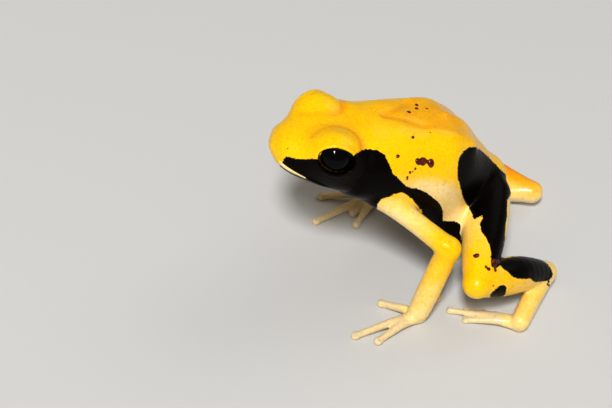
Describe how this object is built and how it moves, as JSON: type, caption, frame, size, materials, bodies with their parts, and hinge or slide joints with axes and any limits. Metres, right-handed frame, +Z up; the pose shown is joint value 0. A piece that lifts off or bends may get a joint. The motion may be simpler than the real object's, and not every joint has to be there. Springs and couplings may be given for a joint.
{
  "type": "poison dart frog",
  "caption": "Life-size still model of a poison dart frog sitting up on straight front legs, with folded hind legs, separate eyes and splayed digits with small discs.",
  "frame": {"origin": "centre of the animal's bounding box, on the floor that its hands and feet rest on", "axes": "+Z up, snout towards -Y, the animal's left side towards +X; +Y runs along the longest extent, towards the rear"},
  "size_m": [0.0424, 0.0506, 0.0297],
  "materials": {
    "skin": "moist, smooth, finely granular skin, orange-yellow with black patches and cream limbs",
    "eye": "wet, glossy black eye with a thin gold edge to the iris"
  },
  "bodies": {
    "root": {"head": "skin", "lower_jaw": "skin", "torso": "skin", "eye_left": "eye", "eye_right": "eye", "upper_arm_left": "skin", "upper_arm_right": "skin", "forearm_left": "skin", "forearm_right": "skin", "hand_left": "skin", "hand_right": "skin", "thigh_left": "skin", "thigh_right": "skin", "shank_left": "skin", "shank_right": "skin", "tarsus_left": "skin", "tarsus_right": "skin", "foot_left": "skin", "foot_right": "skin"}
  },
  "joints": []
}
